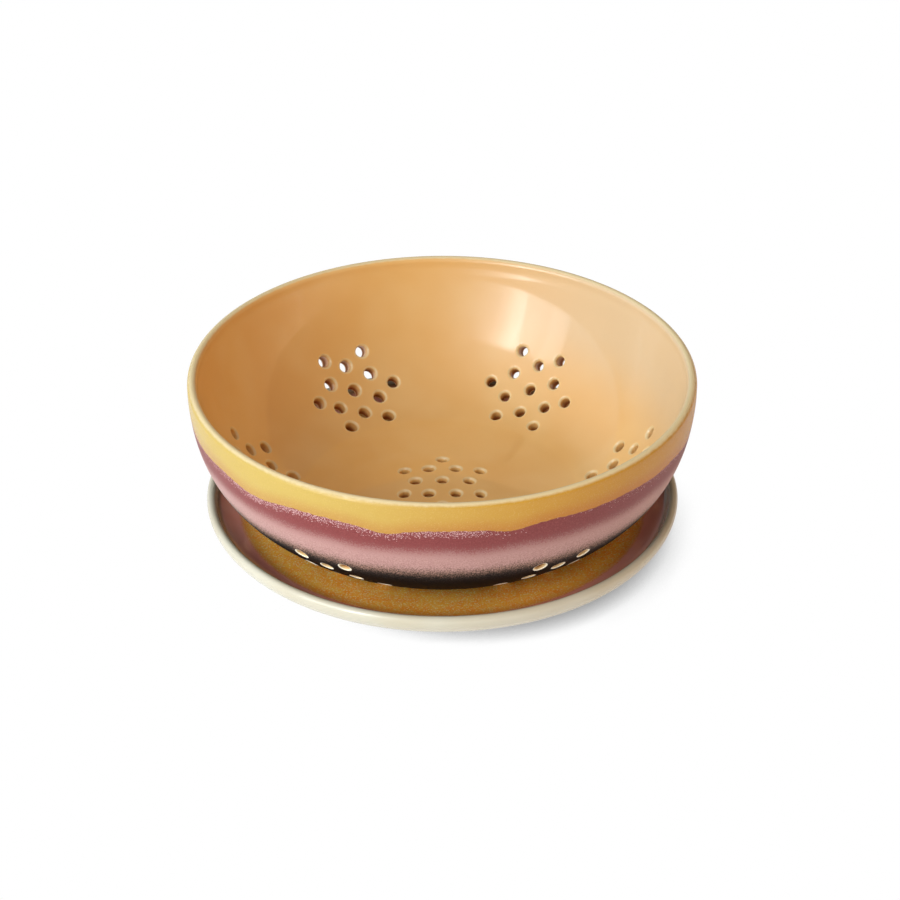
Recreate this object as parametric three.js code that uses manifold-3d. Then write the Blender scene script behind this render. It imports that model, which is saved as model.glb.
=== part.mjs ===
// Berry bowl: a glazed stoneware strainer bowl that stands in a shallow drip saucer.
// Millimetres, +Z up. The origin is on the table, under the middle of the saucer's foot.

import * as THREE from 'three';
import { mergeVertices } from 'three/addons/utils/BufferGeometryUtils.js';
import Module from 'manifold-3d';

// Strainer bowl: heights are above its own foot
const BOWL_RADIUS = 100;
const BOWL_HEIGHT = 62;
const BOWL_WALL = 3.9;
const BOWL_FOOT_RADIUS = 55;
const BOWL_FOOT_WIDTH = 5;
const BOWL_FOOT_STEP = 1;
const BOWL_FLOOR_THICKNESS = 4;
const BOWL_FLOOR_EDGE_RADIUS = 54;
const BOWL_FLOOR_EDGE_HEIGHT = 6.6;
const BOWL_FLOOR_DOME = 5;

// Pulls of the floor's dome, as shares of its radius
const DOME_MIDDLE_SHARE = 0.4;
const DOME_EDGE_SHARE = 0.6;

// Curve of the bowl's outer wall: it leaves the heel, just above the foot, at a slope,
// and ends upright, below the lip
const HEEL_RADIUS = 63.7;
const HEEL_HEIGHT = 1.6;
const HEEL_CLEARANCE = 0.5;
const WALL_HEEL_SLOPE = THREE.MathUtils.degToRad(30.4);
const WALL_HEEL_PULL = 25.4;
const WALL_TOP_LEAN = THREE.MathUtils.degToRad(3.6);
const WALL_TOP_PULL = 29.3;
const LIP_BAND = 6.2;

// Curve of its inner wall, from the floor's edge up
const INNER_FLOOR_PULL = 17.4;
const INNER_RISE_PER_WALL = 1.75;

// Drain holes: stars of thirteen, one in the middle of the floor and a ring of six up the wall
const HOLE_DIAMETER = 5;
const HOLE_SIDES = 8;
const HOLE_CUT_WALLS = 6;
const STAR_INNER_RADIUS = 10.9;
const STAR_OUTER_RADIUS = 17.7;
const STAR_POINTS = 6;
const STAR_RING_COUNT = 6;
const STAR_RING_RADIUS = 74.4;

// Drip saucer: heights are above its own foot
const SAUCER_RADIUS = 94.6;
const SAUCER_HEIGHT = 16.1;
const SAUCER_WALL = 3.6;
const SAUCER_FLOOR_RADIUS = 74;
const SAUCER_FLOOR_HEIGHT = 7.3;
const SAUCER_FLOOR_THICKNESS = 4.4;
const SAUCER_COVE_PULL = 7;
const SAUCER_WALL_DROP = 3.7;
const SAUCER_WALL_RUN = 2;
const SAUCER_FOOT_RADIUS = 66;
const SAUCER_FOOT_WIDTH = 5;
const SAUCER_UNDERSIDE_HEIGHT = 2.4;
const SAUCER_UNDERSIDE_PULL = 17.5;
const SAUCER_RIM_DROP = 4.2;

// How the bowl seats in the saucer
const SEAT_CLEARANCE = 0.3;

// Fineness of the facets
const TURN_SEGMENTS = 48;
const CURVE_STEPS = 7;
const DOME_STEPS = 4;
const LIP_STEPS = 4;
const HEEL_STEPS = 3;
const STRAIGHT = 1;
const MERGE_DISTANCE = 1e-3;
const HALVINGS = 40;

// Glazes
const BOWL_GLAZE = { color: 0xd9a35c, roughness: 0.2, metalness: 0 };
const SAUCER_GLAZE = { color: 0x9b6a35, roughness: 0.25, metalness: 0 };

const wasm = await Module();
wasm.setup();

// Geometry helpers

// Turns a profile of (radius, height) points about +Z. The points run from the axis over the top
// and back under to the axis, and are taken in reverse so that the faces point out.
function turned(points) {
  const geometry = new THREE.LatheGeometry(points.toReversed(), TURN_SEGMENTS);
  geometry.rotateX(Math.PI / 2);
  return geometry;
}

// Points of a path, with the steps chosen for each of its curves in turn.
function pointsAlong(path, stepsPerCurve) {
  const points = path.curves.flatMap((curve, index) => curve.getPoints(stepsPerCurve[index]).slice(0, -1));
  points.push(path.curves.at(-1).getPoint(1));
  return points;
}

// A closed geometry as a solid that can be joined and cut.
function solidFrom(geometry) {
  const bare = geometry.clone();
  bare.deleteAttribute('normal');
  bare.deleteAttribute('uv');
  const merged = mergeVertices(bare, MERGE_DISTANCE);
  const index = Array.from(merged.index.array);
  const triangles = [];
  for (let i = 0; i < index.length; i += 3) {
    const [a, b, c] = index.slice(i, i + 3);
    if (a !== b && b !== c && c !== a) triangles.push(a, b, c);
  }
  return new wasm.Manifold(new wasm.Mesh({
    numProp: 3,
    vertProperties: new Float32Array(merged.attributes.position.array),
    triVerts: new Uint32Array(triangles),
  }));
}

// A solid as a geometry for a mesh.
function geometryFrom(solid) {
  const mesh = solid.getMesh();
  const geometry = new THREE.BufferGeometry();
  const corners = new Float32Array(mesh.vertProperties);
  geometry.setAttribute('position', new THREE.BufferAttribute(corners, mesh.numProp));
  geometry.setIndex(new THREE.BufferAttribute(new Uint32Array(mesh.triVerts), 1));
  geometry.computeVertexNormals();
  return geometry;
}

// Strainer bowl

const lipRadius = BOWL_WALL / 2;
const lipHeight = BOWL_HEIGHT - lipRadius;
const wallTopHeight = BOWL_HEIGHT - LIP_BAND;
const innerTopRadius = BOWL_RADIUS - BOWL_WALL;
const floorMiddleHeight = BOWL_FLOOR_EDGE_HEIGHT + BOWL_FLOOR_DOME;

// Ends of the two pulls that shape the outer wall.
const outerPullHeel = new THREE.Vector2(
  HEEL_RADIUS + WALL_HEEL_PULL * Math.cos(WALL_HEEL_SLOPE),
  HEEL_HEIGHT + WALL_HEEL_PULL * Math.sin(WALL_HEEL_SLOPE),
);
const outerPullTop = new THREE.Vector2(
  BOWL_RADIUS - WALL_TOP_PULL * Math.sin(WALL_TOP_LEAN),
  wallTopHeight - WALL_TOP_PULL * Math.cos(WALL_TOP_LEAN),
);
const innerPullTop = new THREE.Vector2(
  outerPullTop.x - BOWL_WALL,
  outerPullTop.y + BOWL_WALL * INNER_RISE_PER_WALL,
);

// The inside, from the middle of the domed floor to the start of the lip.
function bowlInside() {
  const path = new THREE.Path();
  path.moveTo(0, floorMiddleHeight);
  path.bezierCurveTo(
    BOWL_FLOOR_EDGE_RADIUS * DOME_MIDDLE_SHARE, floorMiddleHeight,
    BOWL_FLOOR_EDGE_RADIUS * DOME_EDGE_SHARE, BOWL_FLOOR_EDGE_HEIGHT,
    BOWL_FLOOR_EDGE_RADIUS, BOWL_FLOOR_EDGE_HEIGHT,
  );
  path.bezierCurveTo(
    BOWL_FLOOR_EDGE_RADIUS + INNER_FLOOR_PULL, BOWL_FLOOR_EDGE_HEIGHT,
    innerPullTop.x, innerPullTop.y,
    innerTopRadius, wallTopHeight,
  );
  path.lineTo(innerTopRadius, lipHeight);
  return path;
}

// The outside, from the lip down to the heel, round under it to the foot ring and under the floor
// to the axis.
function bowlOutside() {
  const path = new THREE.Path();
  const footInnerRadius = BOWL_FOOT_RADIUS - BOWL_FOOT_WIDTH;
  const heelTurnRadius = HEEL_RADIUS - (HEEL_HEIGHT - HEEL_CLEARANCE) / Math.tan(WALL_HEEL_SLOPE);
  const heelEndRadius = (heelTurnRadius + BOWL_FOOT_RADIUS) / 2;
  const undersideHeight = floorMiddleHeight - BOWL_FLOOR_THICKNESS;
  path.absarc(BOWL_RADIUS - lipRadius, lipHeight, lipRadius, Math.PI, 0, true);
  path.lineTo(BOWL_RADIUS, wallTopHeight);
  path.bezierCurveTo(
    outerPullTop.x, outerPullTop.y,
    outerPullHeel.x, outerPullHeel.y,
    HEEL_RADIUS, HEEL_HEIGHT,
  );
  path.quadraticCurveTo(heelTurnRadius, HEEL_CLEARANCE, heelEndRadius, HEEL_CLEARANCE);
  path.lineTo(BOWL_FOOT_RADIUS, HEEL_CLEARANCE);
  path.lineTo(BOWL_FOOT_RADIUS, 0);
  path.lineTo(footInnerRadius, 0);
  path.lineTo(footInnerRadius, BOWL_FOOT_STEP);
  path.bezierCurveTo(
    footInnerRadius * DOME_EDGE_SHARE, BOWL_FOOT_STEP,
    footInnerRadius * DOME_MIDDLE_SHARE, undersideHeight,
    0, undersideHeight,
  );
  return path;
}

// Places of one star's holes in its own plane: a middle hole, an inner hexagon and an outer one
// between its corners.
function starHoles() {
  const step = 2 * Math.PI / STAR_POINTS;
  const places = [new THREE.Vector2(0, 0)];
  for (let i = 0; i < STAR_POINTS; i++) {
    const outer = new THREE.Vector2(STAR_OUTER_RADIUS, 0);
    const inner = new THREE.Vector2(STAR_INNER_RADIUS, 0);
    const middle = new THREE.Vector2(0, 0);
    places.push(outer.rotateAround(middle, i * step));
    places.push(inner.rotateAround(middle, (i + 0.5) * step));
  }
  return places;
}

// Share of a path's length at which it reaches a radius.
function shareAtRadius(path, radius) {
  let low = 0;
  let high = 1;
  for (let i = 0; i < HALVINGS; i++) {
    const middle = (low + high) / 2;
    if (path.getPoint(middle).x < radius) low = middle;
    else high = middle;
  }
  return low;
}

// A cutter for one hole, square to the wall: centre on the inner face, axis along the wall's normal.
function holeCutter(centre, axis) {
  const length = HOLE_CUT_WALLS * BOWL_WALL;
  const geometry = new THREE.CylinderGeometry(HOLE_DIAMETER / 2, HOLE_DIAMETER / 2, length, HOLE_SIDES);
  const turn = new THREE.Quaternion().setFromUnitVectors(new THREE.Vector3(0, 1, 0), axis);
  geometry.applyQuaternion(turn);
  geometry.translate(centre.x, centre.y, centre.z);
  return solidFrom(geometry);
}

// Cutters for a star on the wall, laid out along the wall's curve and round the bowl.
// Azimuth 0 is towards +X.
function wallStarCutters(inside, azimuth) {
  const insideLength = inside.getLength();
  const middle = shareAtRadius(inside, STAR_RING_RADIUS);
  return starHoles().map((place) => {
    const share = middle + place.y / insideLength;
    const point = inside.getPoint(share);
    const tangent = inside.getTangent(share);
    const angle = azimuth + place.x / point.x;
    const outward = new THREE.Vector3(Math.cos(angle), Math.sin(angle), 0);
    const centre = outward.clone().multiplyScalar(point.x).setZ(point.y);
    const axis = outward.clone().multiplyScalar(tangent.y).setZ(-tangent.x).normalize();
    return holeCutter(centre, axis);
  });
}

// Cutters for the star in the middle of the floor, with one of its points towards +Y.
function floorStarCutters() {
  const down = new THREE.Vector3(0, 0, -1);
  return starHoles().map((place) => {
    const centre = new THREE.Vector3(place.y, place.x, floorMiddleHeight);
    return holeCutter(centre, down);
  });
}

function strainerBowl() {
  const inside = bowlInside();
  const insideSteps = [DOME_STEPS, CURVE_STEPS, STRAIGHT];
  const outsideSteps = [
    LIP_STEPS, STRAIGHT, CURVE_STEPS, HEEL_STEPS, STRAIGHT, STRAIGHT, STRAIGHT, STRAIGHT, DOME_STEPS,
  ];
  const profile = [
    ...pointsAlong(inside, insideSteps).slice(0, -1),
    ...pointsAlong(bowlOutside(), outsideSteps),
  ];
  const cutters = floorStarCutters();
  for (let i = 0; i < STAR_RING_COUNT; i++) {
    cutters.push(...wallStarCutters(inside, i * 2 * Math.PI / STAR_RING_COUNT));
  }
  const plain = solidFrom(turned(profile));
  const pierced = cutters.reduce((solid, cutter) => solid.subtract(cutter), plain);
  const glaze = new THREE.MeshStandardMaterial(BOWL_GLAZE);
  const mesh = new THREE.Mesh(geometryFrom(pierced), glaze);
  mesh.name = 'strainer_bowl';
  return mesh;
}

// Drip saucer

function dripSaucer() {
  const rimRadius = SAUCER_WALL / 2;
  const rimHeight = SAUCER_HEIGHT - rimRadius;
  const rimInnerRadius = SAUCER_RADIUS - SAUCER_WALL;
  const footInnerRadius = SAUCER_FOOT_RADIUS - SAUCER_FOOT_WIDTH;
  const path = new THREE.Path();
  path.moveTo(0, SAUCER_FLOOR_HEIGHT);
  path.lineTo(SAUCER_FLOOR_RADIUS, SAUCER_FLOOR_HEIGHT);
  path.bezierCurveTo(
    SAUCER_FLOOR_RADIUS + SAUCER_COVE_PULL, SAUCER_FLOOR_HEIGHT,
    rimInnerRadius - SAUCER_WALL_RUN, rimHeight - SAUCER_WALL_DROP,
    rimInnerRadius, rimHeight,
  );
  path.absarc(SAUCER_RADIUS - rimRadius, rimHeight, rimRadius, Math.PI, 0, true);
  path.bezierCurveTo(
    SAUCER_RADIUS, rimHeight - SAUCER_RIM_DROP,
    SAUCER_FOOT_RADIUS + SAUCER_FOOT_WIDTH + SAUCER_UNDERSIDE_PULL, SAUCER_UNDERSIDE_HEIGHT,
    SAUCER_FOOT_RADIUS + SAUCER_FOOT_WIDTH, SAUCER_UNDERSIDE_HEIGHT,
  );
  path.lineTo(SAUCER_FOOT_RADIUS, SAUCER_UNDERSIDE_HEIGHT);
  path.lineTo(SAUCER_FOOT_RADIUS, 0);
  path.lineTo(footInnerRadius, 0);
  path.lineTo(footInnerRadius, SAUCER_FLOOR_HEIGHT - SAUCER_FLOOR_THICKNESS);
  path.lineTo(0, SAUCER_FLOOR_HEIGHT - SAUCER_FLOOR_THICKNESS);
  const steps = [
    STRAIGHT, CURVE_STEPS, LIP_STEPS, CURVE_STEPS, STRAIGHT, STRAIGHT, STRAIGHT, STRAIGHT, STRAIGHT,
  ];
  const profile = pointsAlong(path, steps);
  const glaze = new THREE.MeshStandardMaterial(SAUCER_GLAZE);
  const mesh = new THREE.Mesh(geometryFrom(solidFrom(turned(profile))), glaze);
  mesh.name = 'drip_saucer';
  return mesh;
}

// Assembly: the bowl stands on the saucer's floor

const bowl = strainerBowl();
bowl.position.z = SAUCER_FLOOR_HEIGHT + SEAT_CLEARANCE;

const berryBowl = new THREE.Group();
berryBowl.add(dripSaucer(), bowl);

export default berryBowl;
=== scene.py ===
"""Berry bowl: a glazed strainer bowl standing in its drip saucer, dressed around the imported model."""

import math

import bmesh
import bpy
import numpy as np
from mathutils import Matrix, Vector
from mathutils.geometry import delaunay_2d_cdt


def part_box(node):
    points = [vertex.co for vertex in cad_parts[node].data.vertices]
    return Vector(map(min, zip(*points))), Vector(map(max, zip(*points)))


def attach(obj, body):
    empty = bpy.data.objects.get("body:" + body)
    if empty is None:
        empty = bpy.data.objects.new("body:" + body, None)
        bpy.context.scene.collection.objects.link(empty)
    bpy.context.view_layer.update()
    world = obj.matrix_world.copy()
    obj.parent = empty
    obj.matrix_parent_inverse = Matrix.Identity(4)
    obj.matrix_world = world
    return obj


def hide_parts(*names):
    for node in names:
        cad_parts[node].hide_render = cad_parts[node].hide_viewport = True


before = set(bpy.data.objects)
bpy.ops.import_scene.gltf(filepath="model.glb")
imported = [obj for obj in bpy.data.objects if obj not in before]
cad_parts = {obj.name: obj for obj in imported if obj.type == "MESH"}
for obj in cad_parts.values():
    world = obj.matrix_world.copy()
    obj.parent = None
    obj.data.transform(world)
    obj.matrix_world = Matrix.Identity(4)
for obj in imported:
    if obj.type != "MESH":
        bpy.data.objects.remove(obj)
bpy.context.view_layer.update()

MM = 0.001

# Strainer bowl in millimetres, with heights above its own foot
BOWL_RADIUS = 100.0
BOWL_HEIGHT = 62.0
BOWL_WALL = 3.9
LIP_RADIUS = BOWL_WALL / 2
LIP_BAND = 6.2
FLOOR_EDGE = (54.0, 6.6)
FLOOR_MIDDLE = 11.6
INNER_PULLS = ((59.0, 6.6), (84.56, 13.11))
INNER_TOP = (95.2, 55.8)
INNER_LIP_PULLS = ((95.7, 57.3), (96.1, 58.6))
OUTER_PULLS = ((98.16, 26.56), (85.61, 14.45))
HEEL = (63.7, 1.6)
HEEL_TURN = (61.82, 0.5)
HEEL_END = (58.41, 0.5)
FOOT_OUTER = 55.0
FOOT_INNER = 50.0
FOOT_STEP = 1.0
FOOT_ROUNDINGS = (0.24, 0.24, 0.4, 0.5)
UNDERSIDE_EDGE = (48.5, FOOT_STEP)
UNDERSIDE_MIDDLE = 7.6
DOME_MIDDLE_SHARE = 0.4
DOME_EDGE_SHARE = 0.6

# Drain holes in millimetres: stars of thirteen, one in the floor and a ring of them in the wall
STAR_POINTS = 6
STAR_INNER = 10.9
STAR_OUTER = 17.7
STAR_RING_RADIUS = 73.9
STAR_RING_COUNT = 6
STAR_BORES = (1.0, 0.97, 1.14, 1.05, 1.0, 1.0)
HOLE_RADIUS = 2.05
HOLE_SPREAD = 0.03
OUTLINE_WAVE = 0.022
MOUTH_ROUNDING = 1.3
OUTER_ROUNDING = 0.6
COLLAR_REACH = MOUTH_ROUNDING + 0.3
BORE_MIDDLE = 1.5

# Values of the mesh's mouth mask: over the rounded mouth, deep in the bore, and at the bore's outer end
MOUTH_CREAM = (0.25, 0.7, 1.0, 0.85, 0.5, 0.3)
BORE_DEEP = -1.0
BORE_END = 1.3

# How far the pierced bands reach along the inner face from the middle of their stars
FLOOR_STAR_EDGE = 26.0
WALL_STAR_LOW = 20.2
WALL_STAR_HIGH = 21.5

# Drip saucer in millimetres, with heights above its own foot
SAUCER_RADIUS = 94.6
SAUCER_HEIGHT = 16.1
SAUCER_WALL = 3.6
SAUCER_FLOOR = (74.0, 7.3)
SAUCER_PULLS = ((81.0, 7.3), (89.0, 10.6))
SAUCER_UNDER_PULLS = ((94.6, 10.1), (88.5, 2.4))
SAUCER_UNDER_END = (71.0, 2.4)
SAUCER_FOOT_OUTER = 66.0
SAUCER_FOOT_INNER = 61.0
SAUCER_FOOT_ROUNDINGS = (1.2, 0.7, 0.7, 1.2)
SAUCER_UNDERSIDE = 2.9
SAUCER_UNDERSIDE_EDGE = 58.0
SAUCER_UNDERSIDE_RING = 30.0
SAUCER_MIDDLE_DISC = 0.6

# Heights on the foot rings below which the clay is bare
CLAY_LINE_OUTER = 0.2
CLAY_LINE_INNER = 0.6
SAUCER_CLAY_LINE = 0.7

# Fineness of the meshes: numbers of points, and steps along a profile in millimetres
SEGMENTS = 384
HOLE_SEGMENTS = 28
LONG_CURVE = 400
LIP_CURVE = 60
SHORT_CURVE = 40
CORNER_CURVE = 6
WALL_STEP = 1.3
LIP_STEP = 0.35
HEEL_STEP = 0.25
FOOT_RING_STEP = 0.18
UNDERSIDE_STEP = 0.5
SAUCER_STEP = 0.8
SAUCER_FOOT_STEP = 0.25
GRID = 2.1
GRID_TO_EDGE = 0.7 * GRID
GRID_TO_COLLAR = 0.75 * GRID
GRID_TOLERANCE = 1e-5
WELD = 0.004 * MM
SLIVER = 0.001 * MM

# Where each piece's materials stand in its list
INSIDE_FINISH, OUTSIDE_FINISH, CLAY_FINISH = 0, 1, 2
SAUCER_FINISH, SAUCER_CLAY_FINISH = 0, 1

rng = np.random.default_rng(20)


# Profiles

def bezier(start, pull_start, pull_end, end, count=LONG_CURVE):
    t = np.linspace(0, 1, count)[:, None]
    a, b, c, d = (np.array(p, float) for p in (start, pull_start, pull_end, end))
    return (1 - t) ** 3 * a + 3 * (1 - t) ** 2 * t * b + 3 * (1 - t) * t ** 2 * c + t ** 3 * d


def half_round(centre, radius):
    """Points over the top of a rounded edge, from its inner side to its outer."""
    angle = np.radians(np.linspace(180, 0, LIP_CURVE))
    return np.stack([centre[0] + radius * np.cos(angle), centre[1] + radius * np.sin(angle)], 1)


def rounded(corners, cuts):
    """Points of a line through the corners, with each inner corner rounded over its own cut."""
    points = [np.array(corners[0], float)]
    for i, cut in enumerate(cuts, 1):
        before, corner, after = (np.array(corners[j], float) for j in (i - 1, i, i + 1))
        start = corner + (before - corner) / np.linalg.norm(before - corner) * cut
        end = corner + (after - corner) / np.linalg.norm(after - corner) * cut
        points.extend(bezier(start, (start + 2 * corner) / 3, (end + 2 * corner) / 3, end, CORNER_CURVE))
    points.append(np.array(corners[-1], float))
    return np.array(points)


class Profile:
    """A line of (radius, height) points, read by the length along it."""

    def __init__(self, *pieces):
        points = np.vstack(pieces)
        step = np.linalg.norm(np.diff(points, axis=0), axis=1)
        keep = np.concatenate([[True], step > 1e-6])
        self.points = points[keep]
        step = np.linalg.norm(np.diff(self.points, axis=0), axis=1)
        self.run = np.concatenate([[0], np.cumsum(step)])
        slope = np.gradient(self.points, self.run, axis=0)
        self.slope = slope / np.linalg.norm(slope, axis=1)[:, None]
        self.length = self.run[-1]

    def at(self, run):
        return np.interp(run, self.run, self.points[:, 0]), np.interp(run, self.run, self.points[:, 1])

    def normal(self, run):
        """Square to the line, to the right of its direction."""
        along_r = np.interp(run, self.run, self.slope[:, 0])
        along_z = np.interp(run, self.run, self.slope[:, 1])
        size = np.hypot(along_r, along_z)
        return along_z / size, -along_r / size

    def between(self, start, end, step=WALL_STEP):
        count = max(2, int(abs(end - start) / step) + 1)
        return np.stack(self.at(np.linspace(start, end, count)), 1)

    def run_at_radius(self, radius):
        return np.interp(radius, self.points[:, 0], self.run)

    def run_near(self, point):
        """Run of the profile's own point that is nearest to a (radius, height)."""
        return self.run[np.argmin(np.abs(self.points - point).sum(1))]


wall_top = BOWL_HEIGHT - LIP_BAND
lip_height = BOWL_HEIGHT - LIP_RADIUS
inside = Profile(
    bezier((0, FLOOR_MIDDLE), (FLOOR_EDGE[0] * DOME_MIDDLE_SHARE, FLOOR_MIDDLE),
           (FLOOR_EDGE[0] * DOME_EDGE_SHARE, FLOOR_EDGE[1]), FLOOR_EDGE),
    bezier(FLOOR_EDGE, *INNER_PULLS, INNER_TOP),
    bezier(INNER_TOP, *INNER_LIP_PULLS, (BOWL_RADIUS - BOWL_WALL, lip_height), SHORT_CURVE),
)
foot_ring = rounded(
    [HEEL_END, (FOOT_OUTER, HEEL_END[1]), (FOOT_OUTER, 0), (FOOT_INNER, 0), (FOOT_INNER, FOOT_STEP),
     UNDERSIDE_EDGE],
    FOOT_ROUNDINGS,
)
outside = Profile(
    half_round((BOWL_RADIUS - LIP_RADIUS, lip_height), LIP_RADIUS),
    bezier((BOWL_RADIUS, wall_top), *OUTER_PULLS, HEEL),
    bezier(HEEL, HEEL_TURN, HEEL_TURN, HEEL_END, SHORT_CURVE),
    foot_ring,
    bezier(UNDERSIDE_EDGE, (FOOT_INNER * DOME_EDGE_SHARE, FOOT_STEP),
           (FOOT_INNER * DOME_MIDDLE_SHARE, UNDERSIDE_MIDDLE), (0, UNDERSIDE_MIDDLE)),
)

# Rays that measure the wall: their number, the run of the first, the last as a share of the inside's
# length, the thinnest wall in millimetres, and the slack at the ends of an edge
RAYS = 700
RAYS_START = 0.5
RAYS_END_SHARE = 0.97
THINNEST_WALL = 0.5
RAY_TOLERANCE = 1e-9


def wall_thickness():
    """Depth of the wall, and the run on the outside, square below each point of the inside."""
    runs = np.linspace(RAYS_START, inside.length * RAYS_END_SHARE, RAYS)
    start, end = outside.points[:-1], outside.points[1:]
    edge = end - start
    depth, place = [], []
    for run in runs:
        point = np.array(inside.at(run))
        ray = np.array(inside.normal(run))
        across = ray[0] * edge[:, 1] - ray[1] * edge[:, 0]
        offset = start - point
        with np.errstate(divide="ignore", invalid="ignore"):
            distance = (offset[:, 0] * edge[:, 1] - offset[:, 1] * edge[:, 0]) / across
            share = (offset[:, 0] * ray[1] - offset[:, 1] * ray[0]) / across
        on_edge = (share >= -RAY_TOLERANCE) & (share <= 1 + RAY_TOLERANCE)
        hit = np.where(on_edge & (distance > THINNEST_WALL))[0]
        first = hit[np.argmin(distance[hit])]
        depth.append(distance[first])
        place.append(outside.run[first] + share[first] * (outside.run[first + 1] - outside.run[first]))
    return runs, np.array(depth), np.array(place)


thick_runs, thick_depth, thick_place = wall_thickness()


def at_depth(run, angle, depth):
    """Points of the bowl at a run along its inside and an angle, a depth below the inner face."""
    radius, height = inside.at(run)
    normal_r, normal_z = inside.normal(run)
    reach = radius + depth * normal_r
    return np.stack([reach * np.cos(angle), reach * np.sin(angle), height + depth * normal_z], -1)


def on_outside(run, angle):
    """Points of the outer face, square below a run along the inside."""
    return at_depth(run, angle, np.interp(run, thick_runs, thick_depth))


# Mesh building

def turns(count):
    """Even angles round a full turn."""
    return np.arange(count) * 2 * math.pi / count


def circle(radius, height):
    angle = turns(SEGMENTS)
    return np.stack([radius * np.cos(angle), radius * np.sin(angle), np.full(SEGMENTS, height)], 1)


class Shell:
    """Points and faces of one piece, gathered patch by patch, with a mask and a material for each."""

    def __init__(self):
        self.points, self.faces, self.finishes, self.mouth = [], [], [], []
        self.count = 0

    def add(self, points, faces, finish, mouth=0.0):
        points = np.asarray(points, float).reshape(-1, 3)
        self.points.append(points)
        self.mouth.append(np.broadcast_to(np.asarray(mouth, float).ravel(), (len(points),)))
        self.faces.extend([tuple(self.count + i for i in face) for face in faces])
        self.finishes.extend([finish] * len(faces))
        self.count += len(points)

    def lathe(self, profile, finish):
        """Turns (radius, height) points about the axis."""
        self.grid(np.array([circle(radius, height) for radius, height in profile]), finish)

    def grid(self, rows, finish, mouth=0.0):
        """Rows of points that close round into rings."""
        number, around = rows.shape[:2]
        faces = []
        for i in range(number - 1):
            for j in range(around):
                k = (j + 1) % around
                faces.append((i * around + j, i * around + k, (i + 1) * around + k, (i + 1) * around + j))
        self.add(rows, faces, finish, mouth)

    def build(self, name, finishes, base):
        """Makes the piece, standing on a height in metres, and welds its patches into one closed skin."""
        points = np.vstack(self.points)
        mesh = bpy.data.meshes.new(name)
        mesh.from_pydata((points * MM + (0, 0, base)).tolist(), [], self.faces)
        mask = mesh.attributes.new("mouth", "FLOAT", "POINT")
        mask.data.foreach_set("value", np.concatenate(self.mouth).astype(np.float32))
        mesh.polygons.foreach_set("material_index", np.array(self.finishes, np.int32))
        for finish in finishes:
            mesh.materials.append(finish)
        work = bmesh.new()
        work.from_mesh(mesh)
        bmesh.ops.remove_doubles(work, verts=work.verts, dist=WELD)
        bmesh.ops.dissolve_degenerate(work, edges=work.edges, dist=SLIVER)
        bmesh.ops.recalc_face_normals(work, faces=work.faces)
        for face in work.faces:
            face.smooth = True
        work.to_mesh(mesh)
        work.free()
        piece = bpy.data.objects.new(name, mesh)
        bpy.context.scene.collection.objects.link(piece)
        return piece


# Drain holes

class Hole:
    """One hand-punched hole: its middle on the inner face, and its slightly uneven outline."""

    def __init__(self, run, angle, flat, share=1.0):
        self.run, self.angle, self.flat = run, angle, flat
        self.radius = HOLE_RADIUS * share * (1 + HOLE_SPREAD * rng.standard_normal())
        self.waves = OUTLINE_WAVE * rng.standard_normal(2)
        self.turns = rng.uniform(0, 2 * math.pi, 2)

    def place(self, offset, turn):
        """(run, angle) of points at an offset out from the bore, in the wall's own plane."""
        oval = self.waves[0] * np.cos(2 * turn + self.turns[0])
        lobes = self.waves[1] * np.cos(3 * turn + self.turns[1])
        reach = self.radius * (1 + (oval + lobes)) + offset
        along, up = reach * np.cos(turn), reach * np.sin(turn)
        if self.flat:
            x = self.run * math.cos(self.angle) + along
            y = self.run * math.sin(self.angle) + up
            return np.hypot(x, y), np.arctan2(y, x)
        run = self.run + up
        return run, self.angle + along / inside.at(run)[0]

    def distance(self, run, angle):
        """How far points of the inner face are from the middle."""
        if self.flat:
            dx = run * np.cos(angle) - self.run * math.cos(self.angle)
            dy = run * np.sin(angle) - self.run * math.sin(self.angle)
            return np.hypot(dx, dy)
        turn = (angle - self.angle + math.pi) % (2 * math.pi) - math.pi
        return np.hypot(turn * inside.at(run)[0], run - self.run)


def star_places():
    """(across, up) of a star's holes: the middle one, then an outer and an inner one for each point."""
    step = 2 * math.pi / STAR_POINTS
    places = [(0.0, 0.0)]
    for i in range(STAR_POINTS):
        for radius, angle in ((STAR_OUTER, i * step), (STAR_INNER, (i + 0.5) * step)):
            places.append((radius * math.cos(angle), radius * math.sin(angle)))
    return places


def floor_holes():
    holes = []
    for across, up in star_places():
        holes.append(Hole(math.hypot(up, across), math.atan2(across, up), True))
    return holes


def wall_holes():
    holes = []
    middle = inside.run_at_radius(STAR_RING_RADIUS)
    for i in range(STAR_RING_COUNT):
        azimuth = i * 2 * math.pi / STAR_RING_COUNT
        for across, up in star_places():
            run = middle + up
            holes.append(Hole(run, azimuth + across / float(inside.at(run)[0]), False, STAR_BORES[i]))
    return holes


# What a point of a pierced band belongs to. A point on a hole's collar has the hole's number instead.
HIGH_EDGE, LOW_EDGE, FREE_POINT = -1, -2, -3

# Rows of a bore's outer rounding that still have the inside glaze
BORE_END_ROWS = 3


def free_points(holes, low, high):
    """(run, angle) of staggered points between a band's edges, clear of them and of the holes' collars."""
    x, y = np.meshgrid(np.arange(-high, high, GRID), np.arange(-high, high, GRID * math.sqrt(3) / 2))
    x = x + (np.arange(x.shape[0]) % 2)[:, None] * GRID / 2
    run, angle = np.hypot(x, y).ravel(), np.arctan2(y, x).ravel()
    free = (run > low + GRID_TO_EDGE) | (low == 0)
    free &= run < high - GRID_TO_EDGE
    for hole in holes:
        free &= hole.distance(run, angle) > hole.radius + COLLAR_REACH + GRID_TO_COLLAR
    return run[free], angle[free]


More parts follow.
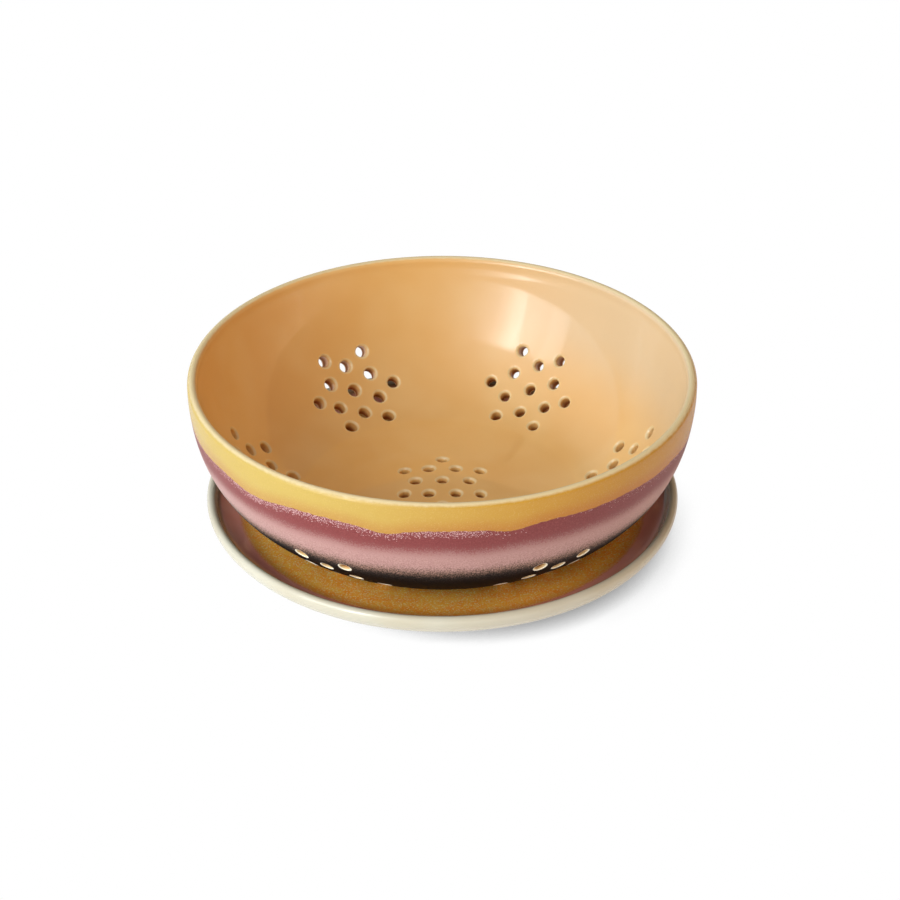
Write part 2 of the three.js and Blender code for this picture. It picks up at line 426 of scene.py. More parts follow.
def pierced_band(shell, holes, low, high):
    """The wall from one run to another, both faces, with rounded holes through it."""
    runs, angles, tags, links = [], [], [], []

    def gather(run, angle, tag):
        runs.append(np.broadcast_to(run, angle.shape).astype(float))
        angles.append(angle)
        tags.append(np.full(len(angle), tag))

    def ring(run, angle, tag):
        start = sum(len(r) for r in runs)
        count = len(angle)
        gather(run, angle, tag)
        links.extend((start + i, start + (i + 1) % count) for i in range(count))

    ring(high, turns(SEGMENTS), HIGH_EDGE)
    if low > 0:
        ring(low, turns(SEGMENTS), LOW_EDGE)
    for number, hole in enumerate(holes):
        ring(*hole.place(COLLAR_REACH, turns(HOLE_SEGMENTS)), number)
    gather(*free_points(holes, low, high), FREE_POINT)
    run, angle, tag = np.concatenate(runs), np.concatenate(angles), np.concatenate(tags)
    flat = [Vector((r * math.cos(a), r * math.sin(a))) for r, a in zip(run, angle)]
    _, _, triangles, origins, _, _ = delaunay_2d_cdt(flat, links, [], 0, GRID_TOLERANCE)
    faces = []
    for triangle in triangles:
        corners = [origins[i][0] for i in triangle]
        owners = {tag[i] for i in corners}
        in_opening = len(owners) == 1 and (min(owners) >= 0 or owners == {LOW_EDGE})
        if not in_opening:
            faces.append(corners)
    shell.add(at_depth(run, angle, 0.0), faces, INSIDE_FINISH)
    shell.add(on_outside(run, angle), [face[::-1] for face in faces], OUTSIDE_FINISH)
    for hole in holes:
        pierce(shell, hole)


def pierce(shell, hole):
    """The collar, rounded mouth, bore and outer edge of one hole."""
    turn = turns(HOLE_SEGMENTS)
    bends = np.radians(np.linspace(0, 90, len(MOUTH_CREAM)))
    rows, mask = [], []

    def row(offset, depth, from_outside, amount):
        run, angle = hole.place(offset, turn)
        if from_outside:
            depth = np.interp(run, thick_runs, thick_depth) - depth
        rows.append(at_depth(run, angle, depth))
        mask.append(np.full(len(turn), amount))

    def rounding(radius, bend):
        return radius * (1 - math.sin(bend)), radius * (1 - math.cos(bend))

    row(COLLAR_REACH, 0.0, False, 0.0)
    for bend, cream in zip(bends, MOUTH_CREAM):
        row(*rounding(MOUTH_ROUNDING, bend), False, cream)
    row(0.0, BORE_MIDDLE, True, BORE_DEEP)
    inner = len(rows) + BORE_END_ROWS
    for bend in bends[::-1]:
        row(*rounding(OUTER_ROUNDING, bend), True, BORE_END)
    row(COLLAR_REACH, 0.0, True, 0.0)
    shell.grid(np.array(rows[:inner]), INSIDE_FINISH, np.concatenate(mask[:inner]))
    shell.grid(np.array(rows[inner - 1:]), OUTSIDE_FINISH, np.concatenate(mask[inner - 1:]))


# Strainer bowl

def make_bowl(finishes):
    shell = Shell()
    middle = inside.run_at_radius(STAR_RING_RADIUS)
    low, high = middle - WALL_STAR_LOW, middle + WALL_STAR_HIGH
    pierced_band(shell, floor_holes(), 0.0, FLOOR_STAR_EDGE)
    pierced_band(shell, wall_holes(), low, high)
    floor_out, low_out, high_out = np.interp([FLOOR_STAR_EDGE, low, high], thick_runs, thick_place)

    def joined(points, index, run):
        """Puts one end of a strip exactly on the band that it meets."""
        x, _, z = on_outside(np.array(run), np.array(0.0))
        points[index] = (x, z)
        return points

    lip_top = LIP_RADIUS * math.pi / 2
    lip_end = 2 * lip_top
    clay_start = outside.run_near((FOOT_OUTER, CLAY_LINE_OUTER))
    clay_end = outside.run_near((FOOT_INNER, CLAY_LINE_INNER))
    shell.lathe(inside.between(FLOOR_STAR_EDGE, low), INSIDE_FINISH)
    shell.lathe(inside.between(high, inside.length), INSIDE_FINISH)
    shell.lathe(outside.between(0, lip_top, LIP_STEP), INSIDE_FINISH)
    shell.lathe(outside.between(lip_top, lip_end, LIP_STEP), OUTSIDE_FINISH)
    shell.lathe(joined(outside.between(lip_end, high_out), -1, high), OUTSIDE_FINISH)
    shell.lathe(joined(outside.between(low_out, clay_start, HEEL_STEP), 0, low), OUTSIDE_FINISH)
    shell.lathe(outside.between(clay_start, clay_end, FOOT_RING_STEP), CLAY_FINISH)
    underside = outside.between(clay_end, floor_out, UNDERSIDE_STEP)
    shell.lathe(joined(underside, -1, FLOOR_STAR_EDGE), OUTSIDE_FINISH)
    return shell.build("strainer_bowl_glazed", finishes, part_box("strainer_bowl")[0].z)


# Drip saucer

def make_saucer(finishes):
    shell = Shell()
    rim = SAUCER_WALL / 2
    rim_height = SAUCER_HEIGHT - rim
    body = Profile(
        [(SAUCER_MIDDLE_DISC, SAUCER_FLOOR[1])],
        bezier(SAUCER_FLOOR, *SAUCER_PULLS, (SAUCER_RADIUS - SAUCER_WALL, rim_height)),
        half_round((SAUCER_RADIUS - rim, rim_height), rim),
        bezier((SAUCER_RADIUS, rim_height), *SAUCER_UNDER_PULLS, SAUCER_UNDER_END),
    )
    foot = Profile(rounded(
        [SAUCER_UNDER_END, (SAUCER_FOOT_OUTER, SAUCER_UNDER_END[1]), (SAUCER_FOOT_OUTER, 0),
         (SAUCER_FOOT_INNER, 0), (SAUCER_FOOT_INNER, SAUCER_UNDERSIDE),
         (SAUCER_UNDERSIDE_EDGE, SAUCER_UNDERSIDE)],
        SAUCER_FOOT_ROUNDINGS,
    ))
    clay_start = foot.run_near((SAUCER_FOOT_OUTER, SAUCER_CLAY_LINE))
    clay_end = foot.run_near((SAUCER_FOOT_INNER, SAUCER_CLAY_LINE))
    shell.lathe(body.between(0, body.length, SAUCER_STEP), SAUCER_FINISH)
    shell.lathe(foot.between(0, clay_start, SAUCER_FOOT_STEP), SAUCER_FINISH)
    shell.lathe(foot.between(clay_start, clay_end, SAUCER_FOOT_STEP), SAUCER_CLAY_FINISH)
    shell.lathe(foot.between(clay_end, foot.length, SAUCER_FOOT_STEP), SAUCER_FINISH)
    underside = (SAUCER_UNDERSIDE_EDGE, SAUCER_UNDERSIDE_RING, SAUCER_MIDDLE_DISC)
    shell.lathe([(radius, SAUCER_UNDERSIDE) for radius in underside], SAUCER_FINISH)
    for height, order in ((SAUCER_FLOOR[1], 1), (SAUCER_UNDERSIDE, -1)):
        shell.add(circle(SAUCER_MIDDLE_DISC, height), [tuple(range(SEGMENTS))[::order]], SAUCER_FINISH)
    return shell.build("drip_saucer_glazed", finishes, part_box("drip_saucer")[0].z)


# Materials

def colour(red, green, blue):
    """Linear colour of an 8-bit one."""
    parts = [c / 255 for c in (red, green, blue)]
    return tuple(c / 12.92 if c <= 0.04045 else ((c + 0.055) / 1.055) ** 2.4 for c in parts) + (1.0,)


class Graph:
    """Short ways to put nodes into a material."""

    def __init__(self, name):
        self.material = bpy.data.materials.new(name)
        self.material.use_nodes = True
        self.tree = self.material.node_tree
        self.tree.nodes.clear()
        self.place = self.add("ShaderNodeTexCoord").outputs["Object"]

    def add(self, kind, **settings):
        node = self.tree.nodes.new(kind)
        for key, value in settings.items():
            setattr(node, key, value)
        return node

    def put(self, value, socket):
        """Links a socket, or sets a plain value on it."""
        if isinstance(value, bpy.types.NodeSocket):
            self.tree.links.new(value, socket)
        else:
            socket.default_value = value

    def math(self, operation, a, b=0.0, c=0.0):
        node = self.add("ShaderNodeMath", operation=operation)
        for value, socket in zip((a, b, c), node.inputs):
            self.put(value, socket)
        return node.outputs[0]

    def times(self, a, b):
        return self.math("MULTIPLY", a, b)

    def plus(self, a, b):
        return self.math("ADD", a, b)

    def scaled(self, value, low, high, to_low=0.0, to_high=1.0, kind="SMOOTHSTEP"):
        """Maps low to high onto two other values, and stops at these."""
        node = self.add("ShaderNodeMapRange", interpolation_type=kind)
        for number, socket in zip((value, low, high, to_low, to_high), node.inputs):
            self.put(number, socket)
        return node.outputs[0]

    def mix(self, share, a, b):
        node = self.add("ShaderNodeMix", data_type="RGBA")
        self.put(share, node.inputs["Factor"])
        self.put(a, node.inputs[6])
        self.put(b, node.inputs[7])
        return node.outputs[2]

    def noise(self, size, detail=2.0, roughness=0.5, stretch=None):
        """Noise whose grains are about a size in millimetres."""
        node = self.add("ShaderNodeTexNoise")
        source = self.place
        if stretch:
            mapping = self.add("ShaderNodeMapping")
            mapping.inputs["Scale"].default_value = stretch
            self.put(source, mapping.inputs["Vector"])
            source = mapping.outputs["Vector"]
        self.put(source, node.inputs["Vector"])
        node.inputs["Scale"].default_value = 1 / size / MM
        node.inputs["Detail"].default_value = detail
        node.inputs["Roughness"].default_value = roughness
        return node.outputs["Fac"]

    def specks(self, size, reach, plenty=None):
        """Soft dots in cells of a size in millimetres, in all of them or in a share of them."""
        node = self.add("ShaderNodeTexVoronoi")
        self.put(self.place, node.inputs["Vector"])
        node.inputs["Scale"].default_value = 1 / size / MM
        near = self.scaled(node.outputs["Distance"], reach, reach * 0.55)
        if plenty is None:
            return near
        chance = self.add("ShaderNodeSeparateColor")
        self.put(node.outputs["Color"], chance.inputs[0])
        return self.times(near, self.math("GREATER_THAN", plenty, chance.outputs[0]))

    def attribute(self, name):
        return self.add("ShaderNodeAttribute", attribute_name=name).outputs["Fac"]

    def axis(self, name, vector=None):
        """One coordinate of the place, or of another vector."""
        parts = self.add("ShaderNodeSeparateXYZ")
        self.put(self.place if vector is None else vector, parts.inputs[0])
        return parts.outputs[name]

    def height(self, base):
        """Height above a piece's own foot, in millimetres."""
        return self.times(self.math("SUBTRACT", self.axis("Z"), base), 1 / MM)

    def radius(self):
        """Distance from the axis, in millimetres."""
        squares = [self.math("POWER", self.axis(name), 2.0) for name in "XY"]
        return self.times(self.math("SQRT", self.plus(*squares)), 1 / MM)

    def finish(self, base_colour, roughness, bumps=(), **others):
        """Ends the material in one shader, with bumps given as (height, depth in millimetres)."""
        shader = self.add("ShaderNodeBsdfPrincipled")
        self.put(base_colour, shader.inputs["Base Color"])
        self.put(roughness, shader.inputs["Roughness"])
        for name, value in others.items():
            self.put(value, shader.inputs[name.replace("_", " ")])
        normal = None
        for height, depth in bumps:
            bump = self.add("ShaderNodeBump")
            bump.inputs["Distance"].default_value = depth * MM
            self.put(height, bump.inputs["Height"])
            if normal is not None:
                self.put(normal, bump.inputs["Normal"])
            normal = bump.outputs["Normal"]
        if normal is not None:
            self.put(normal, shader.inputs["Normal"])
        output = self.add("ShaderNodeOutputMaterial")
        self.put(shader.outputs[0], output.inputs["Surface"])
        return self.material


GLAZE_IOR = 1.5
CREAM = colour(228, 212, 166)
CREAM_DEEP = colour(220, 188, 132)

# Inside glaze. It is painted paler high on the right as a painted sheen, over a span across in metres
# and one upward in millimetres
ORANGE = colour(231, 189, 120)
ORANGE_DEEP = colour(227, 179, 104)
ORANGE_PAINTED_SHEEN = colour(211, 188, 149)
# Brown painted deep in the bores as their shade
BORE_SHADE_BROWN = colour(166, 96, 40)
SHEEN_ACROSS = (-20 * MM, 90 * MM)
SHEEN_UPWARD = (15.0, 45.0)
INNER_LIP_CREAM = (61.3, 61.95)
INSIDE_COAT = 0.68
INSIDE_COAT_IOR = 1.65


def bowl_inside_glaze(base):
    """Glossy orange glaze that thins to cream on the lip and round the holes."""
    g = Graph("bowl_inside_glaze")
    height = g.height(base)
    cloud = g.noise(34, 2.0)
    wave = g.noise(9, 1.0)
    grain = g.noise(1.1, 3.0, 0.6)
    uneven = g.math("MULTIPLY_ADD", g.noise(2.6, 2.0), 0.7, -0.35)

    body = g.mix(g.scaled(cloud, 0.35, 0.68), ORANGE_DEEP, ORANGE)
    # Painted sheen: the wall is paler high on the right, where the light falls on it
    painted_sheen = g.times(g.scaled(g.axis("X"), *SHEEN_ACROSS), g.scaled(height, *SHEEN_UPWARD))
    body = g.mix(painted_sheen, body, ORANGE_PAINTED_SHEEN)
    body = g.mix(g.scaled(grain, 0.62, 0.8, 0.0, 0.12), body, CREAM_DEEP)

    mouth = g.attribute("mouth")
    thin = g.scaled(g.plus(mouth, g.times(uneven, 0.4)), 0.4, 0.8)
    body = g.mix(g.times(thin, 0.6), body, CREAM)
    # Painted shade: deep in the bores the glaze is darkened to brown where shade falls
    deep = g.scaled(mouth, 0.1, BORE_DEEP * 0.8)
    body = g.mix(g.times(deep, 0.9), body, BORE_SHADE_BROWN)
    lip = g.plus(height, g.times(uneven, 0.5))
    body = g.mix(g.scaled(lip, *INNER_LIP_CREAM), body, CREAM)

    bore = g.math("MAXIMUM", deep, g.scaled(mouth, 1.05, BORE_END))
    rough = g.math("MULTIPLY_ADD", bore, 0.4, g.scaled(grain, 0.2, 0.8, 0.44, 0.52))
    coat = g.math("MULTIPLY_ADD", bore, -INSIDE_COAT, INSIDE_COAT)
    return g.finish(body, rough, [(wave, 0.10), (grain, 0.012)], IOR=GLAZE_IOR, Specular_IOR_Level=0.8,
                    Coat_Weight=coat, Coat_IOR=INSIDE_COAT_IOR, Coat_Roughness=0.06)


# Outside glaze: pairs for the left and right side of the amber, and for the dark and light grain of the rest
AMBER_RUN = (colour(184, 144, 68), colour(188, 122, 33))
AMBER_UPPER = (colour(192, 167, 84), colour(198, 146, 44))
AMBER_FLECK = colour(214, 184, 108)
RASPBERRY = (colour(119, 42, 44), colour(138, 63, 64))
PINK = (colour(167, 122, 119), colour(192, 152, 146))
BROWN = (colour(92, 66, 50), colour(146, 112, 96))
BLACK = (colour(14, 8, 6), colour(24, 14, 10))
CRYSTAL = colour(232, 198, 200)
MOUTH_WHITE = colour(250, 243, 222)

# Where the bands meet: heights above the foot in millimetres, a span across in metres, and distances
# above the amber's lower edge in millimetres
BLACK_TO_BROWN = (24.8, 29.0)
BROWN_TO_PINK = (26.6, 32.6)
PINK_TO_RASPBERRY = (36.6, 43.4)
OUTER_LIP_CREAM = (60.9, 61.9)
MATT_TO_SATIN = (22.0, 30.0)
DULL_TO_SHINY = (20.0, 28.0)
AMBER_ACROSS = (-70 * MM, 70 * MM)
AMBER_EDGE = (-0.25, 0.25)
AMBER_RISE = (0.0, 7.0)
AMBER_GLOSS = (-0.5, 0.5)
CRYSTAL_FADE = (-4.2, -0.3)


def bowl_outside_glaze(base):
    """Bands of glaze that ran into each other: cream, amber, raspberry, dusty pink, brown and black."""
    g = Graph("bowl_outside_glaze")
    height = g.height(base)
    around = g.noise(26, 1.0, stretch=(1, 1, 0))
    medium = g.noise(2.2, 2.0)
    fine = g.noise(0.55, 2.0, 0.6)
    ragged = g.times(g.math("SUBTRACT", medium, 0.5), 1.1)
    above = g.math("SUBTRACT", g.plus(height, ragged), g.attribute("drip"))
    slow = g.math("MULTIPLY_ADD", around, 3.0, -1.5)
    grain = g.times(g.math("SUBTRACT", fine, 0.5), 12.0)
    settled = g.plus(g.plus(height, slow), grain)

    # Amber paler on the left and deeper ochre on the right: partly the glaze's own variation, partly painted
    # sheen
    amber_sheen_side = g.scaled(g.axis("X"), *AMBER_ACROSS)
    amber = g.mix(g.scaled(above, *AMBER_RISE), g.mix(amber_sheen_side, *AMBER_RUN), g.mix(amber_sheen_side, *AMBER_UPPER))
    amber = g.mix(g.scaled(fine, 0.5, 0.75, 0.0, 0.3), amber, AMBER_FLECK)
    lip = g.plus(height, g.times(ragged, 0.5))
    amber = g.mix(g.scaled(lip, *OUTER_LIP_CREAM), amber, CREAM)

    raspberry = g.mix(g.scaled(fine, 0.35, 0.75), *RASPBERRY)
    pink = g.mix(g.scaled(fine, 0.3, 0.72), *PINK)
    brown = g.mix(g.scaled(fine, 0.35, 0.7), *BROWN)
    black = g.mix(g.scaled(fine, 0.4, 0.8), *BLACK)
    lower = g.mix(g.scaled(settled, *PINK_TO_RASPBERRY), pink, raspberry)
    lower = g.mix(g.scaled(settled, *BROWN_TO_PINK), brown, lower)
    lower = g.mix(g.scaled(settled, *BLACK_TO_BROWN), black, lower)

    plenty = g.times(g.attribute("crystals"), g.scaled(above, *CRYSTAL_FADE))
    crystal = g.specks(0.42, 0.5, plenty)
    lower = g.mix(g.times(crystal, 0.9), lower, CRYSTAL)
    body = g.mix(g.scaled(above, *AMBER_EDGE), lower, amber)
    body = g.mix(g.scaled(g.attribute("mouth"), 1.2, BORE_END), body, MOUTH_WHITE)

    rough = g.scaled(settled, *MATT_TO_SATIN, 0.65, 0.4)
    rough = g.math("SUBTRACT", rough, g.scaled(above, *AMBER_GLOSS, 0.0, 0.16))
    shine = g.scaled(settled, *DULL_TO_SHINY, 0.1, 0.5)
    return g.finish(body, rough, [(around, 0.25), (fine, 0.02), (crystal, 0.03)],
                    IOR=GLAZE_IOR, Specular_IOR_Level=shine)


# Saucer glaze
SAUCER_AMBER = (colour(255, 160, 36), colour(255, 190, 66))
SAUCER_SPECK = colour(255, 236, 170)
SAUCER_FLECK = colour(255, 222, 158)
SAUCER_COVE = colour(196, 106, 34)
SAUCER_CONTACT_SHADOW = colour(150, 82, 22)
MAUVE = (colour(230, 146, 130), colour(240, 166, 150))
MAUVE_FLECK = colour(246, 192, 172)
RIM_TAN = colour(150, 120, 84)
RIM_CREAM = (colour(202, 201, 184), colour(198, 194, 173))

# Where its colours meet: distances from the axis, and how far the surface faces up
# The floor darkens from the first distance to the second as a painted contact shadow under the bowl's foot
CONTACT_SHADOW_REACH = (66.0, 56.0)
COVE_DARKENS = (75.0, 82.0)
AMBER_TO_MAUVE = (80.2, 82.4)
MAUVE_TO_TAN = (88.6, 90.2)
TAN_TO_CREAM = (89.9, 91.2)
SATIN_TO_GLOSSY = (79.0, 83.0)
UNDERSIDE_TO_TOP = (-0.05, 0.05)


def saucer_glaze():
    """Mottled amber floor, mauve wall and a cream rim and underside."""
    g = Graph("saucer_glaze")
    radius = g.radius()
    broad = g.noise(22, 1.0)
    medium = g.noise(3.0, 3.0)
    fine = g.noise(0.6, 2.0, 0.6)
    uneven = g.math("MULTIPLY_ADD", medium, 2.0, -1.0)
    place = g.plus(radius, uneven)
    rim_place = g.plus(radius, g.times(uneven, 0.25))

    amber = g.mix(g.scaled(medium, 0.3, 0.7), *SAUCER_AMBER)
    amber = g.mix(g.times(g.specks(0.95, 0.4), 0.8), amber, SAUCER_SPECK)
    amber = g.mix(g.scaled(fine, 0.5, 0.68, 0.0, 0.6), amber, SAUCER_FLECK)
    amber = g.mix(g.scaled(place, *COVE_DARKENS, 0.0, 0.5), amber, SAUCER_COVE)
    # Painted contact shadow: the floor darkens towards the middle, under the bowl's foot
    amber = g.mix(g.scaled(place, *CONTACT_SHADOW_REACH, 0.0, 0.3), amber, SAUCER_CONTACT_SHADOW)

    mauve = g.mix(g.scaled(broad, 0.3, 0.7), *MAUVE)
    mauve = g.mix(g.scaled(fine, 0.5, 0.85, 0.0, 0.2), mauve, MAUVE_FLECK)
    cream = g.mix(g.scaled(broad, 0.3, 0.7), *RIM_CREAM)
    body = g.mix(g.scaled(place, *AMBER_TO_MAUVE), amber, mauve)
    body = g.mix(g.scaled(rim_place, *MAUVE_TO_TAN), body, RIM_TAN)
    body = g.mix(g.scaled(rim_place, *TAN_TO_CREAM), body, cream)
    facing_up = g.axis("Z", g.add("ShaderNodeTexCoord").outputs["Normal"])
    body = g.mix(g.scaled(facing_up, *UNDERSIDE_TO_TOP), cream, body)

    rough = g.plus(g.scaled(fine, 0.2, 0.8, 0.1, 0.18), g.scaled(place, *SATIN_TO_GLOSSY, 0.3, 0.0))
    return g.finish(body, rough, [(broad, 0.15), (fine, 0.02)], IOR=GLAZE_IOR, Specular_IOR_Level=0.5,
                    Coat_Weight=0.6, Coat_Roughness=0.1)


CLAY = (colour(186, 164, 136), colour(214, 196, 168))
CLAY_STAIN = colour(170, 140, 108)


def bare_clay():
    """Unglazed stoneware of a foot ring."""
    g = Graph("bare_clay")
    cloud = g.noise(8, 2.0)
    sand = g.noise(0.4, 3.0, 0.65)
    body = g.mix(g.scaled(sand, 0.35, 0.7), *CLAY)
    body = g.mix(g.scaled(cloud, 0.4, 0.8, 0.0, 0.4), body, CLAY_STAIN)
    return g.finish(body, g.scaled(sand, 0.2, 0.8, 0.75, 0.92), [(sand, 0.06)])


# Height of the amber's lower edge, in millimetres above the foot
DRIP_LEVEL = 50.6

# Where the amber ran further down: (degrees from the front, millimetres, degrees wide)
DRIPS = (
    (-128, 2.2, 11), (-96, 1.2, 8), (-68, 1.6, 10), (-46, 2.9, 9), (-12.6, 2.3, 5), (14.8, 1.9, 4.5),
    (36, 0.8, 8), (54, 1.6, 9), (74, 3.8, 10), (103, 1.1, 7), (131, 2.6, 9), (162, 1.5, 8), (-165, 1.8, 10),
)

# Where crystals grew below the amber: (degrees from the front, amount, degrees wide)
CRYSTALS = ((-36, 1.5, 24), (2, 1.5, 8), (-110, 0.8, 20), (150, 0.7, 25), (64, 0.4, 24))
MOST_CRYSTALS = 1.2


def swells(angle, places):
    """Sum of smooth swells at angles round the bowl."""
    total = np.zeros_like(angle)
    for middle, amount, width in places:
        off = (angle - middle + 180) % 360 - 180
        total += amount * np.exp(-(off / width) ** 2)
    return total


def mark_drips(piece):
    """Stores on the bowl how far down the amber reaches and where crystals grew below it."""
    mesh = piece.data
    points = np.zeros(len(mesh.vertices) * 3)
    mesh.vertices.foreach_get("co", points)
    x, y, _ = points.reshape(-1, 3).T
    angle = np.degrees(np.arctan2(x, -y))
    marks = {
        "drip": DRIP_LEVEL - swells(angle, DRIPS),
        "crystals": np.clip(swells(angle, CRYSTALS), 0, MOST_CRYSTALS),
    }
    for name, values in marks.items():
        layer = mesh.attributes.new(name, "FLOAT", "POINT")
        layer.data.foreach_set("value", values.astype(np.float32))


bowl_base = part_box("strainer_bowl")[0].z
clay = bare_clay()
bowl = make_bowl([bowl_inside_glaze(bowl_base), bowl_outside_glaze(bowl_base), clay])
mark_drips(bowl)
saucer = make_saucer([saucer_glaze(), clay])

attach(bowl, "bowl")
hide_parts("strainer_bowl")
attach(saucer, "saucer")
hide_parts("drip_saucer")


# Floor, in metres. It lights the pieces as white paper with a faint glow. The camera sees it as glowing
# white with a painted shadow only close to the pieces, which grows from none at the left end of its span
# to most at the right.
FLOOR_REACH = 4.0
FLOOR_ALBEDO = (0.8, 0.8, 0.8, 1.0)
FLOOR_GLOW = 0.2
SHADOW_REACH = 0.05
SHADOW_RAYS = 16
SHADOW_SPAN = (-0.09, 0.09)
SHADOW_GAIN = (2.4, 1.6)
SHADOW_POWER = (0.0, 1.0)


def floor_material():
    g = Graph("studio_floor")
    paper = g.add("ShaderNodeBsdfDiffuse")
    paper.inputs["Color"].default_value = FLOOR_ALBEDO
    glow = g.add("ShaderNodeEmission")
    glow.inputs["Strength"].default_value = FLOOR_GLOW
    lit = g.add("ShaderNodeAddShader")
    g.put(paper.outputs[0], lit.inputs[0])
    g.put(glow.outputs[0], lit.inputs[1])

    # Painted shadow: the camera's view of the floor is darkened by how near the pieces are
    near = g.add("ShaderNodeAmbientOcclusion", samples=SHADOW_RAYS)
    near.inputs["Distance"].default_value = SHADOW_REACH
    gain = g.scaled(g.axis("X"), *SHADOW_SPAN, *SHADOW_GAIN, "LINEAR")
    power = g.scaled(g.axis("X"), *SHADOW_SPAN, *SHADOW_POWER, "LINEAR")
    shade = g.times(g.math("POWER", near.outputs["AO"], power), gain)
    painted_floor_shadow = g.add("ShaderNodeEmission")
    g.put(g.math("MINIMUM", shade, 1.0), painted_floor_shadow.inputs["Strength"])

    blend = g.add("ShaderNodeMixShader")
    g.put(g.add("ShaderNodeLightPath").outputs["Is Camera Ray"], blend.inputs[0])
    g.put(lit.outputs[0], blend.inputs[1])
    g.put(painted_floor_shadow.outputs[0], blend.inputs[2])
    output = g.add("ShaderNodeOutputMaterial")
    g.put(blend.outputs[0], output.inputs["Surface"])
    return g.material


def make_floor():
    mesh = bpy.data.meshes.new("studio_floor")
    corners = [(x * FLOOR_REACH, y * FLOOR_REACH, 0) for x, y in ((-1, -1), (1, -1), (1, 1), (-1, 1))]
    mesh.from_pydata(corners, [], [(0, 1, 2, 3)])
    mesh.materials.append(floor_material())
    floor = bpy.data.objects.new("studio_floor", mesh)
    bpy.context.scene.collection.objects.link(floor)


# Light, in metres and degrees. Azimuth is counted from the front, positive to the right.
WHITE = (1.0, 1.0, 1.0)
LIGHT_TARGET = Vector((0.0, 0.0, 0.04))


def direction(azimuth, elevation):
    a, e = math.radians(azimuth), math.radians(elevation)
    return Vector((math.sin(a) * math.cos(e), -math.cos(a) * math.cos(e), math.sin(e)))


def add_light(name, data, towards):
    """Puts in a light that shines along a vector."""
    light = bpy.data.objects.new(name, data)
    light.rotation_mode = "QUATERNION"
    light.rotation_quaternion = towards.to_track_quat("-Z", "Y")
    bpy.context.scene.collection.objects.link(light)
    return light


def sun_light(name, azimuth, elevation, spread, strength, tint=WHITE):
    """A broad, even light from far off, which the glazes don't mirror."""
    data = bpy.data.lights.new(name, "SUN")
    data.energy = strength
    data.color = tint
    data.angle = math.radians(spread)
    light = add_light(name, data, -direction(azimuth, elevation))
    light.visible_glossy = False


def window_light(name, azimuth, elevation, distance, size, power, across, upward):
    """A window with curtains: its brightness follows one ramp across and another upward."""
    data = bpy.data.lights.new(name, "AREA")
    data.shape = "RECTANGLE"
    data.size, data.size_y = size
    data.energy = power
    data.use_nodes = True
    tree = data.node_tree
    split = tree.nodes.new("ShaderNodeSeparateXYZ")
    tree.links.new(tree.nodes.new("ShaderNodeNewGeometry").outputs["Parametric"], split.inputs[0])
    product = tree.nodes.new("ShaderNodeMath")
    product.operation = "MULTIPLY"
    for factor, axis, stops in zip(product.inputs, "XY", (across, upward)):
        ramp = tree.nodes.new("ShaderNodeValToRGB")
        parts = ramp.color_ramp.elements
        while len(parts) < len(stops):
            parts.new(0.5)
        for part, (position, level) in zip(parts, stops):
            part.position = position
            part.color = (level, level, level, 1.0)
        tree.links.new(split.outputs[axis], ramp.inputs["Fac"])
        tree.links.new(ramp.outputs["Color"], factor)
    tree.links.new(product.outputs[0], tree.nodes["Emission"].inputs["Strength"])
    place = LIGHT_TARGET + direction(azimuth, elevation) * distance
    light = add_light(name, data, LIGHT_TARGET - place)
    light.location = place


# The window's brightness as (place, level), across it and from low to high
WINDOW_ACROSS = (
    (0.0, 0.0), (0.05, 0.3), (0.2, 0.42), (0.24, 0.3), (0.36, 0.44), (0.44, 0.5), (0.48, 1.0),
    (0.55, 0.85), (0.62, 0.5), (0.72, 0.22), (0.86, 0.08), (1.0, 0.0),
)
WINDOW_UPWARD = ((0.0, 0.0), (0.1, 0.6), (0.5, 0.75), (0.9, 1.0), (1.0, 0.0))

# The surround's strength away from its bright side and towards it, and the cosines between which it grows
SURROUND = (0.12, 1.0)
SURROUND_GROWS = (-0.1, 0.9)
BRIGHT_SIDE = direction(-80, 0)


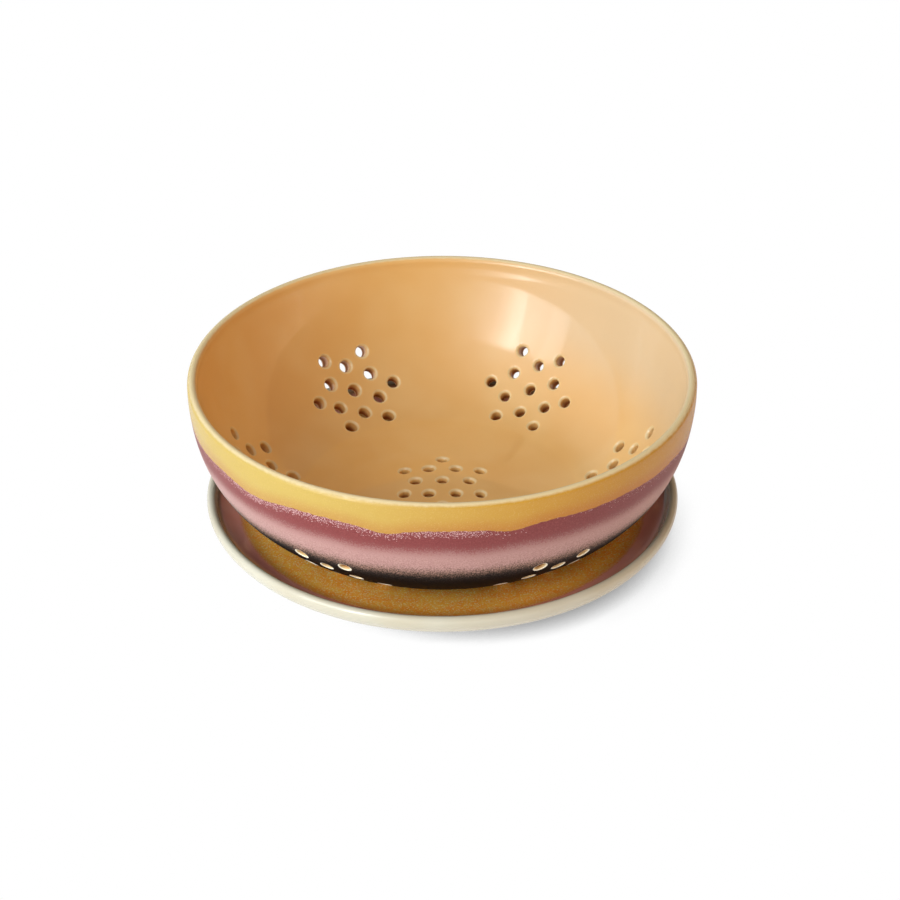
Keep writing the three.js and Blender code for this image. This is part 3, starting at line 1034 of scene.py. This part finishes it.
def make_surround():
    """Light from all round, brighter from the left. The camera sees it white."""
    world = bpy.data.worlds.new("studio")
    bpy.context.scene.world = world
    world.use_nodes = True
    nodes, links = world.node_tree.nodes, world.node_tree.links
    leftward = nodes.new("ShaderNodeVectorMath")
    leftward.operation = "DOT_PRODUCT"
    leftward.inputs[1].default_value = BRIGHT_SIDE
    links.new(nodes.new("ShaderNodeTexCoord").outputs["Generated"], leftward.inputs[0])
    fade = nodes.new("ShaderNodeMapRange")
    fade.interpolation_type = "SMOOTHSTEP"
    for number, socket in zip(SURROUND_GROWS + SURROUND, fade.inputs[1:5]):
        socket.default_value = number
    links.new(leftward.outputs["Value"], fade.inputs["Value"])

    graded = nodes["Background"]
    plain = nodes.new("ShaderNodeBackground")
    for background in (graded, plain):
        background.inputs["Color"].default_value = WHITE + (1.0,)
    links.new(fade.outputs["Result"], graded.inputs["Strength"])
    blend = nodes.new("ShaderNodeMixShader")
    links.new(nodes.new("ShaderNodeLightPath").outputs["Is Camera Ray"], blend.inputs[0])
    links.new(graded.outputs[0], blend.inputs[1])
    links.new(plain.outputs[0], blend.inputs[2])
    links.new(blend.outputs[0], nodes["World Output"].inputs["Surface"])


make_floor()
sun_light("key_light", azimuth=-42, elevation=36, spread=50, strength=0.9)
sun_light("warm_fill", azimuth=80, elevation=28, spread=60, strength=1.0, tint=(1.0, 0.55, 0.22))
sun_light("top_fill", azimuth=0, elevation=80, spread=60, strength=0.18)
window_light("window", azimuth=-40, elevation=12, distance=1.4, size=(1.43, 1.4), power=58.0,
             across=WINDOW_ACROSS, upward=WINDOW_UPWARD)
make_surround()

view = bpy.context.scene.view_settings
view.view_transform = "Standard"
view.look = "None"


# Camera, in metres and pixels of the photograph, with the sensor in millimetres
CAMERA_DISTANCE = 1.1
CAMERA_ELEVATION = math.radians(29.45)
FOCAL_PIXELS = 2798.8
IMAGE_PIXELS = 900
SENSOR = 36.0
LIP_CENTRE_PIXEL = (442.28, 370.34)


def make_camera():
    """Looks along +Y and down as in the photograph, turned so that the lip's centre falls on its pixel."""
    lip_centre = Vector((0, 0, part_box("strainer_bowl")[1].z))
    forward = Vector((0, math.cos(CAMERA_ELEVATION), -math.sin(CAMERA_ELEVATION)))
    upward = Vector((0, math.sin(CAMERA_ELEVATION), math.cos(CAMERA_ELEVATION)))
    sideways = Vector((1, 0, 0))
    turn_right, turn_down = ((IMAGE_PIXELS / 2 - pixel) / FOCAL_PIXELS for pixel in LIP_CENTRE_PIXEL)
    aim = forward + sideways * turn_right - upward * turn_down

    data = bpy.data.cameras.new("camera")
    data.sensor_width = SENSOR
    data.lens = FOCAL_PIXELS * SENSOR / IMAGE_PIXELS
    camera = bpy.data.objects.new("camera", data)
    camera.location = lip_centre - forward * CAMERA_DISTANCE
    camera.rotation_mode = "QUATERNION"
    camera.rotation_quaternion = aim.to_track_quat("-Z", "Y")
    bpy.context.scene.collection.objects.link(camera)
    bpy.context.scene.camera = camera


make_camera()
